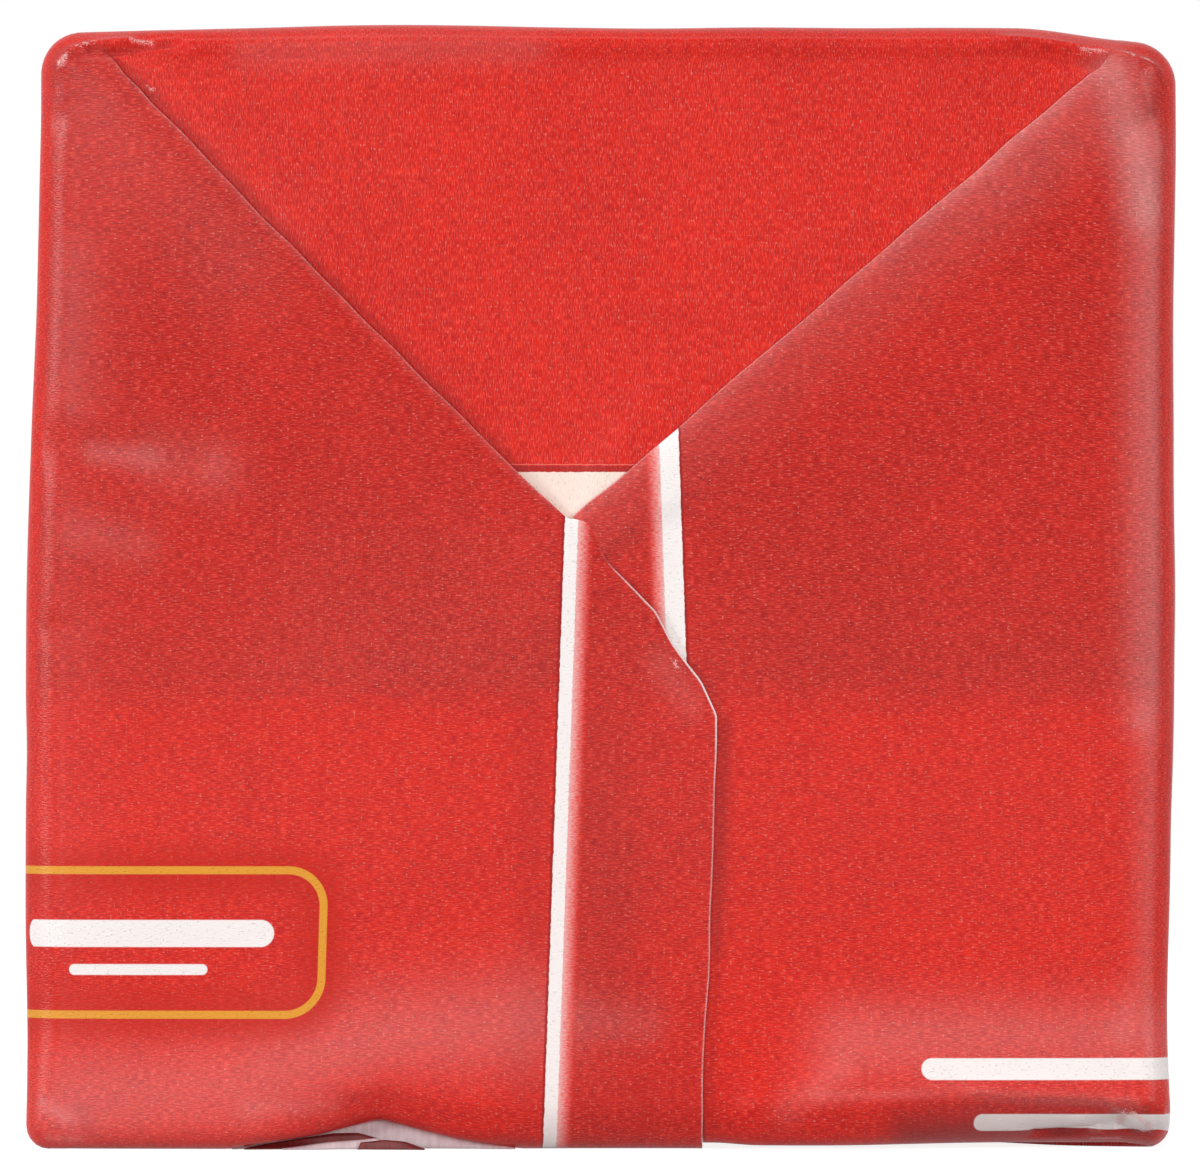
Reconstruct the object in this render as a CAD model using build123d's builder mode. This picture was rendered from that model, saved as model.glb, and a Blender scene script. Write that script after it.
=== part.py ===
"""A one-pound block of butter, shut in one printed sheet of wrapper.

The sheet lies over the block, comes down on all four sides and is tucked under. On each end face the top flap is
folded down first, then the right flap, then the left flap, seen from in front of that end. The two side flaps meet
the top flap along slanting folds that run in from the top corners. Below, the ends of the flaps are folded under
the block first, and the two long margins are folded over them, the right one outermost.

Millimetres. +Z is up, -Y faces the first end, and the origin is the middle of the face that the block rests on.
"""

from build123d import *

import os

# The wrapped block
block_width = 64.0
block_height = 62.6
block_length = 125.4

# Edge rounding, as the pressed butter leaves it
top_edge_radius = 2.8
bottom_edge_radius = 1.4
end_edge_radius = 1.8

# How far one face of the wrapper stands over the next
lap_step = 0.15
fold_step = 0.5

# Folds of an end face, seen from in front of it
apex_aside = -1.8
apex_drop = 27.4
flap_reach = 38.4
flap_corner_drop = 38.4
cut_edge_lean = 0.9

# Folds of the underside
margin_reach = 45.0

# The part of the first end's lower edge that is knocked up
dent_left = -28.0
dent_right = -6.2
dent_peak = -12.4
dent_height = 1.6

# Derived places
half_width = block_width / 2
half_length = block_length / 2
apex = (apex_aside, block_height - apex_drop)
flap_corner = (flap_reach - half_width, block_height - flap_corner_drop)
flap_foot = (flap_corner[0] - cut_edge_lean, 0.0)

# How far the cutting outlines run past the block
beyond = 5.0


def top_flap_outline():
    """The zone of an end face where the top flap shows, in X and Z."""
    return [
        (-half_width, block_height),
        apex,
        (half_width, block_height),
        (half_width, block_height + beyond),
        (-half_width, block_height + beyond),
    ]


def left_flap_outline():
    """The zone of an end face that the left flap covers, in X and Z."""
    return [
        (-half_width, block_height),
        apex,
        flap_corner,
        flap_foot,
        (flap_foot[0], -beyond),
        (-half_width - beyond, -beyond),
        (-half_width - beyond, block_height),
    ]


def right_flap_outline():
    """The zone of an end face where the right flap shows, in X and Z."""
    return [
        (half_width, block_height),
        (half_width + beyond, block_height),
        (half_width + beyond, -beyond),
        (flap_foot[0], -beyond),
        flap_foot,
        flap_corner,
        apex,
    ]


def rounded_block(end_inset):
    """The block above its underside folds, with its edges rounded and each end face set in by end_inset."""
    with BuildPart() as block:
        with Locations((0, 0, fold_step)):
            Box(
                block_width,
                block_length - 2 * end_inset,
                block_height - fold_step,
                align=(Align.CENTER, Align.CENTER, Align.MIN),
            )
        bottom_edges, top_edges = block.edges().filter_by(Axis.Y).group_by(Axis.Z)
        fillet(top_edges, top_edge_radius)
        fillet(block.edges().filter_by(Axis.Y).group_by(Axis.Z)[0], bottom_edge_radius)
        end_faces = block.faces().filter_by(Axis.Y)
        fillet(end_faces.edges(), end_edge_radius)
    return block.part


def front_zone(outline, end_inset):
    """The front half of the block behind one zone of the end face."""
    block = rounded_block(end_inset)
    with BuildPart() as zone:
        add(block)
        with BuildSketch(Plane.XZ):
            with BuildLine():
                Polyline(*outline, close=True)
            make_face()
        extrude(amount=half_length, mode=Mode.INTERSECT)
    return zone.part


def margin_outline(side):
    """The trapezium that one long margin covers below, in X and Y. Side is -1 for the left and 1 for the right."""
    outer_x = half_width - bottom_edge_radius
    outer_y = half_length - end_edge_radius
    depth = margin_reach - bottom_edge_radius
    return [
        (side * outer_x, -outer_y),
        (side * (outer_x - depth), depth - outer_y),
        (side * (outer_x - depth), outer_y - depth),
        (side * outer_x, outer_y),
    ]


def margin(side, thickness):
    """One long margin, folded flat under the block."""
    with BuildPart() as flap:
        with BuildSketch(Plane.XY.offset(fold_step)):
            with BuildLine():
                Polyline(*margin_outline(side), close=True)
            make_face()
        extrude(amount=-thickness)
    return flap.part


top_zone = front_zone(top_flap_outline(), fold_step)
right_zone = front_zone(right_flap_outline(), lap_step)
left_zone = front_zone(left_flap_outline(), 0.0)
left_margin = margin(-1, fold_step - lap_step)
right_margin = margin(1, fold_step)

with BuildPart() as front_half:
    add(top_zone)
    add(right_zone)
    add(left_zone)

with BuildPart() as wrapped_block:
    add(front_half.part)
    add(front_half.part.rotate(Axis.Z, 180))
    add(left_margin)
    add(right_margin)
    with BuildSketch(Plane.XZ.offset(half_length)):
        with BuildLine():
            Polyline(
                (dent_left, fold_step),
                (dent_peak, fold_step + dent_height),
                (dent_right, fold_step),
                close=True,
            )
        make_face()
    extrude(dir=(0, 1, -1), amount=dent_height * 2**0.5 + beyond, mode=Mode.SUBTRACT)

wrapped_block.part.label = "wrapped_block"
os.makedirs("parts", exist_ok=True)
export_step(wrapped_block.part, "parts/wrapped_block.step")
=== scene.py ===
"""A one-pound block of butter in its printed paper wrapper, folded like an envelope at both ends.

The wrapper is one closed skin. Each side of the block is triangulated in its own flat coordinates, in
millimetres, and laid onto a rounded box. Where one layer of paper lies over another, the skin makes a small
pleat. Flat-sheet coordinates, as if the wrapper were opened out, go with it as a UV map, and the print and
the grain follow them.
"""

import math

import bpy
import numpy as np
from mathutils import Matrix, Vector, noise
from mathutils.geometry import delaunay_2d_cdt


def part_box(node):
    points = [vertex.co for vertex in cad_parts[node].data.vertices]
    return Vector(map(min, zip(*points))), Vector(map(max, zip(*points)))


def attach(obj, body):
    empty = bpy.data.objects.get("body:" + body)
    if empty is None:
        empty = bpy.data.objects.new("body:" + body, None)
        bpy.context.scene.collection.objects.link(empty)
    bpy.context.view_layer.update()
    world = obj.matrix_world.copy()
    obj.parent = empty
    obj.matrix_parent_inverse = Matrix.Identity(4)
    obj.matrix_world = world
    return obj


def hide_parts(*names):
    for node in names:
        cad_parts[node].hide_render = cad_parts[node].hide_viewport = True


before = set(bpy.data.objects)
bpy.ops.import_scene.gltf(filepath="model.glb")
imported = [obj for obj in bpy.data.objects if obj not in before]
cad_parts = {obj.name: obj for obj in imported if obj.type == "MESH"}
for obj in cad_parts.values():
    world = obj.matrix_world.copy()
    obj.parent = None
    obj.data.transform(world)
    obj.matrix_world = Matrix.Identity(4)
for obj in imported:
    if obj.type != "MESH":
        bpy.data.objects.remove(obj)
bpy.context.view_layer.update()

MM = 0.001
NODE = "wrapped_block"
LOW, HIGH = (np.array(corner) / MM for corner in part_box(NODE))
WIDTH, LENGTH, HEIGHT = HIGH - LOW

# Rounding of the edges
END_RADIUS = 2.3
TOP_RADIUS = 2.7
BOTTOM_RADIUS = 1.3

# Spacing of the mesh: finest at a fold, then along the edges of the block, then across its sides
FINE = 0.22
LINE_SPACING = 0.3
EDGE_SPACING = 0.4
LONG_SPACING = 0.9
OPEN_SPACING = {"front": 0.44, "back": 0.85, "under": 1.7, "top": 1.7, "left": 1.7, "right": 1.7}
COARSEST = 8


# ---- small helpers


def smooth(low, high, x):
    """Rise smoothly from 0 at low to 1 at high."""
    t = np.clip((x - low) / (high - low), 0.0, 1.0)
    return t * t * (3.0 - 2.0 * t)


def waves(points, scale, seed):
    """Smooth noise of about -1 to 1, with features about scale millimetres wide."""
    shift = Vector((seed * 17.3, seed * 5.1, -seed * 9.7))
    return np.array([noise.noise(Vector(p) / scale + shift) for p in points])


def rows(values):
    """A plain array of floats with one row for each point."""
    return np.array(values, dtype=float)


# ---- the sides of the block


class Side:
    """One side of the block. u runs across it from its middle, v from its lower or first edge."""

    def __init__(self, name, middle, u_axis, v_axis, u_size, v_size):
        self.name = name
        self.middle = rows(middle)
        self.u_axis = rows(u_axis)
        self.v_axis = rows(v_axis)
        self.size = (u_size, v_size)

    def at(self, uv):
        """Points of the sharp-edged box."""
        return self.middle + uv[:, :1] * self.u_axis + uv[:, 1:] * self.v_axis

    def flat(self, points):
        """The side's own coordinates of points on it."""
        away = points - self.middle
        return np.stack([away @ self.u_axis, away @ self.v_axis], axis=1)

    def corners(self):
        half, top = self.size[0] / 2, self.size[1]
        return self.at(rows([(-half, 0), (half, 0), (half, top), (-half, top)]))

    def border_distance(self, uv):
        """How far points are from the nearest edge of the side."""
        half = self.size[0] / 2
        return np.minimum(half - np.abs(uv[:, 0]), np.minimum(uv[:, 1], self.size[1] - uv[:, 1]))


W2, L2 = WIDTH / 2, LENGTH / 2
FRONT = Side("front", (0, -L2, 0), (1, 0, 0), (0, 0, 1), WIDTH, HEIGHT)
BACK = Side("back", (0, L2, 0), (-1, 0, 0), (0, 0, 1), WIDTH, HEIGHT)
UNDER = Side("under", (0, L2, 0), (1, 0, 0), (0, -1, 0), WIDTH, LENGTH)
TOP = Side("top", (0, -L2, HEIGHT), (1, 0, 0), (0, 1, 0), WIDTH, LENGTH)
LEFT = Side("left", (-W2, 0, 0), (0, -1, 0), (0, 0, 1), LENGTH, HEIGHT)
RIGHT = Side("right", (W2, 0, 0), (0, 1, 0), (0, 0, 1), LENGTH, HEIGHT)


# ---- folds and creases


class Fold:
    """The edge of a layer that lies over the next one. The upper layer is on the left of its route.

    Across the edge the skin follows a small profile: it rolls over (a folded edge) or breaks off sharply
    (a cut edge), goes back under the layer, and comes out again as the layer below.
    """

    ACROSS = rows([-1.6, -0.14, -0.07, 0.0, 0.05, 0.14, 0.35])
    FOLDED_ASIDE = rows([-1.6, 0.30, 0.12, 0.0, 0.02, 0.12, 0.35])
    FOLDED_DROP = rows([1.0, 1.0, 0.8, 0.5, 0.22, 0.06, 0.0])
    CUT_ASIDE = rows([-1.6, 0.36, 0.02, 0.0, 0.05, 0.14, 0.35])
    CUT_DROP = rows([1.0, 1.0, 0.45, 0.0, 0.0, 0.0, 0.0])
    LINES = ACROSS[1:-1]
    BEHIND = ACROSS[2]
    CROWN = 0.4
    CROWN_REACH = 1.4
    STRIDE = 12
    RIM = ([-0.07, -0.02, 0.05, 0.15], [0.0, 1.0, 1.0, 0.0])

    def __init__(
        self,
        route,
        drop,
        cut=(0.0, 0.0),
        wander=0.0,
        level_ends=(False, False),
        seed=1,
        covers=True,
        pale=((0, 0),),
    ):
        """drop is the height lost. cut is the shares of the route between which a cut edge becomes a fold.

        wander is how far the edge strays from the route. covers says that the later folds of the same side
        pass under this one. pale gives places along the route and how pale the paper's own edge is there:
        bare white at a cut, a painted highlight where the edge is folded.
        """
        self.drop = drop
        self.cut = cut
        self.covers = covers
        self.pale = pale
        route = rows(route)
        steps = np.linalg.norm(np.diff(route, axis=0), axis=1)
        along = np.concatenate([[0.0], np.cumsum(steps)])
        self.length = along[-1]
        count = int(self.length / LINE_SPACING) + 1
        self.t = np.linspace(0.0, self.length, count)
        self.points = np.stack([np.interp(self.t, along, route[:, k]) for k in (0, 1)], axis=1)
        self.normals = self._normals(level_ends)
        if wander:
            sway = waves(np.column_stack([self.t, 0 * self.t, 0 * self.t]), 3.5, seed)
            ends = smooth(0, 3, self.t) * smooth(0, 3, self.length - self.t)
            self.points = self.points + self.normals * (wander * sway * ends)[:, None]

    def _normals(self, level_ends):
        """Unit normals that point to the upper layer."""
        along = np.gradient(self.points, axis=0)
        normals = np.column_stack([-along[:, 1], along[:, 0]])
        normals /= np.linalg.norm(normals, axis=1)[:, None]
        for end, level in zip((0, -1), level_ends):
            if level:
                normals[end] = (np.sign(normals[end, 0]), 0.0)
        return normals

    def line(self, offset):
        """The edge moved sideways towards the upper layer."""
        return self.points + self.normals * offset

    def measure(self, uv):
        """For each point: signed distance from the edge, place along it, and the normal there."""
        count = len(self.points)
        knots = np.arange(0, count, self.STRIDE)
        rough = ((uv[:, None, :] - self.points[knots]) ** 2).sum(axis=2)
        nearest = knots[rough.argmin(axis=1)]
        window = nearest[:, None] + np.arange(-self.STRIDE, self.STRIDE)
        window = np.clip(window, 0, count - 2)
        start = self.points[window]
        step = self.points[window + 1] - start
        away = uv[:, None, :] - start
        share = np.clip((away * step).sum(axis=2) / (step**2).sum(axis=2), 0.0, 1.0)
        gap = ((away - share[:, :, None] * step) ** 2).sum(axis=2)
        best = gap.argmin(axis=1)
        pick = np.arange(len(uv))
        place = window[pick, best] + share[pick, best]
        index = np.arange(count)
        normal = np.column_stack([np.interp(place, index, self.normals[:, k]) for k in (0, 1)])
        foot = np.column_stack([np.interp(place, index, self.points[:, k]) for k in (0, 1)])
        side = np.where(((uv - foot) * normal).sum(axis=1) < 0.0, -1.0, 1.0)
        return side * np.sqrt(gap[pick, best]), np.interp(place, index, self.t), normal

    def profile(self, distance, t):
        """Sideways shift and share of the drop."""
        start, end = self.cut
        torn = 1.0 - smooth(start * self.length, end * self.length + 1e-6, t) if end else 0.0 * t
        aside = (1 - torn) * np.interp(distance, self.ACROSS, self.FOLDED_ASIDE)
        aside += torn * np.interp(distance, self.ACROSS, self.CUT_ASIDE)
        outside = (distance < self.ACROSS[0]) | (distance > self.ACROSS[-1])
        shift = np.where(outside, 0.0, aside - distance)
        crown = (1.0 - np.clip(distance / self.CROWN_REACH, 0.0, 1.0)) ** 2
        folded = (1.0 - self.CROWN) * np.interp(distance, self.ACROSS, self.FOLDED_DROP)
        folded += self.CROWN * crown
        drop = (1 - torn) * folded + torn * np.interp(distance, self.ACROSS, self.CUT_DROP)
        return shift, drop

    def rim(self, distance, t):
        """How pale the paper's own edge is: bare white at a cut, a painted highlight along a folded edge.
        """
        return np.interp(distance, *self.RIM) * np.interp(t, *zip(*self.pale))


# Each end of the block, seen from in front of it
APEX = (-1.9, 35.05)
LEFT_CUT = [(5.7, 0.0), (5.75, 3.2), (6.15, 12.2), (6.45, 21.7), (6.5, 24.1)]
LEFT_TEAR = [(5.6, 26.0), (4.0, 28.2), (3.1, 29.9), (0.65, 32.4), (-0.75, 34.75)]
LEFT_FOLD = [(-19.7, 52.45), (-25.5, 58.4), (-26.2, 59.2), (-27.2, 60.1), (-28.5, 62.1)]
LEFT_FLAP = LEFT_CUT + LEFT_TEAR + [APEX] + LEFT_FOLD
RIGHT_FLAP = [(28.5, 62.3), (26.7, 59.95), (23.4, 56.8), (15.0, 49.4), (4.2, 40.0), (-1.7, 35.0)]

# How far the edges of the flaps stand over the next layer, and how far they stray from their routes
LEFT_DROP = 0.32
RIGHT_DROP = 0.4
FLAP_WANDER = 0.14

# Where the left flap's cut edge turns into a fold, as shares of its route. A margin's edge is all cut
CUT_SHARE = (0.42, 0.47)
ALL_CUT = (1.0, 1.0)

# How pale the paper's own edge is along the two routes, bare white at the cut and a painted highlight where
# it is folded, and where the left one passes the apex
LEFT_PALE = [(20, 0.42), (24.5, 0.85), (27, 0.9), (29, 0.75), (34, 0.5), (35.2, 0), (37.6, 0), (38.7, 0.36)]
RIGHT_PALE = [(0, 0.36)]
PAST_APEX = (38.0, 40.0)

# How strong the painted sheen along the crest of the right flap's fold is, along its route
RIGHT_CREST_SHEEN = [(0, 0.2), (4, 0.7), (10, 0.9), (16, 0.6), (24, 0.4), (34, 0.4)]

# Just below the apex the left flap is pressed flat and its edge doesn't show: from where to where on its
# route, and how far from the edge the layer below has sunk to its own height again
PRESSED_FROM = (34.4, 36.0)
PRESSED_TO = (37.0, 40.5)
PRESSED_REACH = 12.0

# The long margins under the block: how far they reach across it, and where they start at its corners
MARGIN_REACH = 45.0
MARGIN_DROP = 0.1
CORNER = (W2 - BOTTOM_RADIUS, BOTTOM_RADIUS)


def margin_route(side):
    """The edge of one long margin, below. side is -1 for the left and 1 for the right."""
    outer, first = CORNER
    reach = MARGIN_REACH - first
    inner = side * (outer - reach)
    route = [
        (side * outer, first),
        (inner, first + reach),
        (inner, LENGTH - first - reach),
        (side * outer, LENGTH - first),
    ]
    return route[::-1] if side > 0 else route


def end_folds(seed):
    """The edges of the left and the right flap of an end."""
    left = Fold(LEFT_FLAP, LEFT_DROP, CUT_SHARE, FLAP_WANDER, (True, False), seed, pale=LEFT_PALE)
    right = Fold(RIGHT_FLAP, RIGHT_DROP, wander=FLAP_WANDER, seed=seed + 1, pale=RIGHT_PALE)
    return left, right


END_FOLDS = {FRONT.name: end_folds(1), BACK.name: end_folds(5)}
UNDER_FOLDS = [Fold(margin_route(side), MARGIN_DROP, ALL_CUT) for side in (1, -1)]

# Where the left flap of each end goes on under the block
FOOT = LEFT_FLAP[0][0]
TUCK_REACH = 24.0
TUCK_ROUTES = ([(FOOT, LENGTH - TUCK_REACH), (FOOT, LENGTH)], [(-FOOT, TUCK_REACH), (-FOOT, 0.0)])
TUCKS = [Fold(route, LEFT_DROP, ALL_CUT, covers=False) for route in TUCK_ROUTES]


# ---- relief of each side


def no_relief(side, uv):
    return np.zeros_like(uv), np.zeros(len(uv)), np.zeros((len(uv), 3))


def below(distance):
    """0 on a layer, rising to 1 just under its edge."""
    return smooth(0.0, 0.14, -distance)


def end_relief(side, uv):
    """Sideways shift and height on an end, and the marks of its folds: pale rim, painted shade and painted
    sheen.
    """
    left, right = END_FOLDS[side.name]
    gap_left, t_left, normal_left = left.measure(uv)
    gap_right, t_right, normal_right = right.measure(uv)
    shift_left, drop_left = left.profile(gap_left, t_left)
    shift_right, drop_right = right.profile(gap_right, t_right)
    under_left = below(gap_left)
    pressed = smooth(*PRESSED_FROM, t_left) * (1.0 - smooth(*PRESSED_TO, t_left))
    loose = 1.0 - pressed * smooth(-PRESSED_REACH, -0.2, gap_left)
    drop_left, shift_left = drop_left * loose, shift_left * loose
    half, top = side.size[0] / 2, side.size[1]
    corner_gap = np.hypot(half - np.abs(uv[:, 0]), top - uv[:, 1])
    calm = smooth(1.0, 4.5, corner_gap) * smooth(0.0, 2.0, top - uv[:, 1])
    calm *= smooth(0.0, 3.0, half - np.abs(uv[:, 0]))
    shift = (calm * shift_left)[:, None] * normal_left
    shift += (calm * under_left * shift_right)[:, None] * normal_right
    height = -calm * (left.drop * drop_left + right.drop * under_left * drop_right)
    rim = loose * left.rim(gap_left, t_left) + under_left * right.rim(gap_right, t_right)
    above_apex = smooth(*PAST_APEX, t_left)
    # Painted shade: the layer below each fold is darkened just beside the fold's edge
    painted_shade = under_left * smooth(-0.5 - 0.6 * above_apex, -0.05, gap_left)
    painted_shade *= above_apex + 0.5 * loose * (1.0 - above_apex)
    painted_shade += 0.7 * under_left * below(gap_right) * smooth(-0.5, -0.05, gap_right)
    # Painted sheen: pale paint along the right fold's crest, and beside the left fold past the apex, stands
    # in for highlights
    crest = smooth(1.0, 0.0, gap_right) + 0.8 * smooth(5.5, 0.0, gap_right)
    painted_sheen = 0.3 * above_apex * (1.0 - under_left) * smooth(0.6, 0.0, gap_left)
    painted_sheen += under_left * (1.0 - below(gap_right)) * crest * np.interp(t_right, *zip(*RIGHT_CREST_SHEEN))
    return shift, height, calm[:, None] * np.column_stack([rim, painted_shade, painted_sheen])


def end_zone(side, uv):
    """The layer that shows at each place on an end, and whether it is the bare edge of the cut."""
    left, right = END_FOLDS[side.name]
    gap_left, t_left, _ = left.measure(uv)
    gap_right, _, _ = right.measure(uv)
    zone = np.where(gap_left > Fold.BEHIND, 0, np.where(gap_right > Fold.BEHIND, 1, 2))
    bare = (gap_left < 0.0) & (gap_left > Fold.BEHIND) & (t_left < left.length * sum(left.cut) / 2)
    return zone, bare


def under_relief(side, uv):
    """Sideways shift and height below: the right margin over the left one, and both over the end flaps."""
    shift = np.zeros_like(uv)
    height = np.zeros(len(uv))
    calm = smooth(0.5, 4.0, side.border_distance(uv))
    near_side = smooth(0.0, 3.0, side.size[0] / 2 - np.abs(uv[:, 0]))
    covered = np.ones(len(uv))
    for fold in UNDER_FOLDS + TUCKS:
        gap, t, normal = fold.measure(uv)
        aside, drop = fold.profile(gap, t)
        here = covered * (calm if fold.covers else near_side * (t > 0))
        shift += (here * aside)[:, None] * normal
        height -= here * fold.drop * drop
        if fold.covers:
            covered = covered * below(gap)
    return shift, height, np.zeros((len(uv), 3))


def under_zone(side, uv):
    """0 and 1 on the right and the left margin, 2 and 3 on the left and right flap of an end."""
    right_gap = UNDER_FOLDS[0].measure(uv)[0]
    left_gap = UNDER_FOLDS[1].measure(uv)[0]
    near_front = uv[:, 1] > LENGTH / 2
    on_left_flap = np.where(near_front, uv[:, 0] < FOOT, uv[:, 0] > -FOOT)
    flap = np.where(on_left_flap, 2, 3)
    zone = np.where(right_gap > Fold.BEHIND, 0, np.where(left_gap > Fold.BEHIND, 1, flap))
    return zone, np.zeros(len(uv), dtype=bool)


# The lifted lip at the foot of the first end: places across the block and how high the paper stands there
LIP_RISE = [(-20.6, 0.0), (-18.7, 0.4), (-15.7, 0.85), (-13.6, 1.38), (-12.3, 1.7)]
LIP_FALL = [(-11.6, 1.55), (-10.2, 1.17), (-8.2, 0.67), (-6.6, 0.38), (-5.4, 0.14), (-4.4, 0.0)]
LIP_RADIUS = 0.4

# The squeezed foot to the right of the seam: places across the block and how high its upper crest runs
ROLL_LINE = [(7.0, 0.4), (10.0, 1.6), (13.0, 2.6), (20.0, 3.1), (28.5, 2.8), (32.0, 2.4)]
ROLL_DEPTH = 2.4

# The foot of the end flares out to the left and the right of the seam, and turns under at the floor
FLARE = 0.45
TURN_UNDER = 0.8

# To the right of the seam the thinner foot is pressed down to the floor
FOOT_PRESS = 0.26

# The ends bulge a little between the upright edges of the block, and sink at the lower left corner
PILLOW = 0.6
PILLOW_REACH = 7.0
CORNER_SINK = 0.8

# The long sides lean in: the left one at its top and a little at its foot, the right one at its foot
LEFT_TOP_INSET = 0.84
LEFT_FOOT_INSET = 0.14
RIGHT_FOOT_INSET = 0.33

# The top sags: along its ridge, towards the left and the right of it, and at the near right corner
RIDGE = -7.0
RIDGE_SAG = 0.14
LEFT_SAG = 0.42
RIGHT_SAG = 0.16
CORNER_SAG = 0.8


def lip_lift(x):
    """How high the paper stands off the floor at places across the block."""
    return np.interp(x, *zip(*LIP_RISE, *LIP_FALL))


def front_foot(points, reach_up, reach_back):
    """1 at the foot of the first end, fading out above it and behind it."""
    return smooth(reach_up, 0.0, points[:, 2]) * smooth(reach_back, 0.0, points[:, 1] + L2)


def edge_radius(points):
    """The rounding at a place on the sharp-edged box."""
    up = smooth(0.0, 0.6 * HEIGHT, points[:, 2])
    along = BOTTOM_RADIUS + (TOP_RADIUS - BOTTOM_RADIUS) * up
    across = BOTTOM_RADIUS + (END_RADIUS - BOTTOM_RADIUS) * smooth(0.0, 8.0, points[:, 2])
    inward = smooth(0.0, 8.0, L2 - np.abs(points[:, 1]))
    radius = across + (along - across) * inward
    lifted = smooth(0.0, 0.5, lip_lift(points[:, 0])) * front_foot(points, 6.0, 8.0)
    return radius + (LIP_RADIUS - radius) * lifted


def rounded(points):
    """Points of the sharp-edged box moved onto the rounded one, and the outward direction there."""
    radius = edge_radius(points)[:, None]
    core = np.clip(points, LOW + radius, HIGH - radius)
    outward = points - core
    outward /= np.linalg.norm(outward, axis=1)[:, None]
    return core + outward * radius, outward


def settle(points):
    """Bend the whole block as a handled pack bends.

    The long sides lean in and the top sags towards its corners. At the foot of the first end the paper is
    lifted to the left of the seam, and to the right of it the block's edge is squeezed under.
    """
    x, y, z = points.T
    left_inset = LEFT_TOP_INSET * smooth(24.0, 64.0, z) + LEFT_FOOT_INSET * smooth(18.0, 0.0, z)
    right_inset = RIGHT_FOOT_INSET * smooth(30.0, 0.0, z)
    top_sag = LEFT_SAG * (np.minimum(x - RIDGE, 0.0) / 24.0) ** 2
    top_sag += RIGHT_SAG * (np.maximum(x - RIDGE, 0.0) / 29.0) ** 2
    top_sag += RIDGE_SAG + CORNER_SAG * smooth(23.0, 30.0, x) * smooth(16.0, 0.0, y + L2)
    lift = lip_lift(x) * front_foot(points, 7.0, 10.0)
    fold_height = np.interp(x, *zip(*ROLL_LINE))
    squeezed = ROLL_DEPTH * smooth(10.0, 24.0, x) * np.clip(1.0 - z / fold_height, 0.0, 1.0)
    pillow = PILLOW * np.clip(1.0 - (W2 - np.abs(x)) / PILLOW_REACH, 0.0, 1.0) ** 2
    pillow = pillow + CORNER_SINK * smooth(-10.0, -W2, x) * smooth(16.0, 0.0, z)
    flared = smooth(-1.0, -6.0, x) + smooth(9.0, 15.0, x)
    pillow = pillow + FLARE * (1.0 - flared * smooth(9.5, 2.6, z))
    squeezed = squeezed + TURN_UNDER * smooth(2.6, 0.0, z) * smooth(-19.0, -13.0, x)
    y = y + squeezed * smooth(7.0, 0.0, y + L2) + pillow * smooth(4.0, 0.0, y + L2)
    y = y - pillow * smooth(4.0, 0.0, L2 - y)
    x = x + left_inset * smooth(0.0, -W2, x) - right_inset * smooth(0.0, W2, x)
    right_of_seam = smooth(6.0, 9.0, -np.sign(y) * x)
    lift = lift - FOOT_PRESS * right_of_seam * smooth(2.5, 0.0, z) * smooth(6.0, 0.0, L2 - np.abs(y))
    z = z - top_sag * smooth(0.3 * HEIGHT, HEIGHT, z) + lift
    return np.column_stack([x, y, z])


# ---- creases and waves


# Creases on an end: a route (across, up), a width, how far it stands out, and whether it is sharp
END_CREASES = [
    ([(-30.5, 39.2), (-22.5, 38.2)], 1.3, -0.26, False),
    ([(-30.5, 29.0), (-29.6, 28.8)], 0.8, -0.14, False),
    ([(-31.0, 60.8), (-30.2, 61.8), (-29.0, 62.3), (-26.8, 62.6)], 0.4, 0.35, True),
    ([(-29.2, 61.6), (-27.2, 61.7), (-26.2, 62.0), (-24.2, 62.5)], 0.3, -0.5, True),
    ([(-31.4, 57.6), (-29.6, 58.2)], 0.7, -0.25, True),
    ([(22.5, 62.4), (26.0, 62.3), (28.6, 62.2), (31.0, 61.2)], 0.45, 0.35, True),
    ([(21.5, 61.4), (25.5, 61.3), (27.6, 61.2)], 0.6, -0.3, True),
    ([(28.8, 61.4), (30.6, 58.8), (31.2, 56.2)], 1.1, 0.35, True),
    ([(29.6, 57.6), (31.2, 58.6)], 0.6, -0.3, True),
    ([(27.4, 56.5), (28.2, 52.5)], 1.6, 0.16, False),
    ([(9.0, 2.4), (13.0, 3.3)], 1.1, 0.25, False),
    ([(21.0, 3.3), (28.5, 3.0), (30.6, 2.7)], 0.45, 0.3, True),
    ([(22.0, 2.5), (28.8, 2.3)], 0.35, -0.2, True),
    ([(24.6, 0.7), (27.2, 1.1), (29.2, 1.6)], 0.35, -0.8, True),
    ([(26.6, 1.7), (28.8, 2.1)], 0.4, 0.3, True),
    ([(28.8, 2.6), (30.2, 1.6), (31.6, 2.0)], 0.35, 0.5, True),
    ([(29.4, 1.2), (30.6, 0.7), (31.5, 1.1)], 0.35, -0.5, True),
]
WAVE_HEIGHT = 0.27

# The same on the long sides and the top, but with routes in space
LONG_CREASES = [
    ([(-W2, -58.0, 22.0), (-W2, -34.0, 41.0)], 2.4, -0.28, False),
    ([(-W2, 30.0, 16.0), (-W2, 56.0, 30.0)], 2.2, -0.25, False),
    ([(W2, -57.0, 18.0), (W2, -44.0, 42.0)], 2.0, -0.26, False),
    ([(W2, 18.0, 52.0), (W2, 52.0, 40.0)], 2.6, -0.3, False),
    ([(-W2, -20.0, HEIGHT), (-W2, -8.0, HEIGHT)], 2.0, -0.4, False),
    ([(W2, 12.0, HEIGHT), (W2, 26.0, HEIGHT)], 2.2, -0.45, False),
    ([(-24.0, -56.0, HEIGHT), (-8.0, -38.0, HEIGHT)], 2.4, -0.28, False),
    ([(10.0, 36.0, HEIGHT), (26.0, 55.0, HEIGHT)], 2.2, -0.26, False),
]
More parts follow.
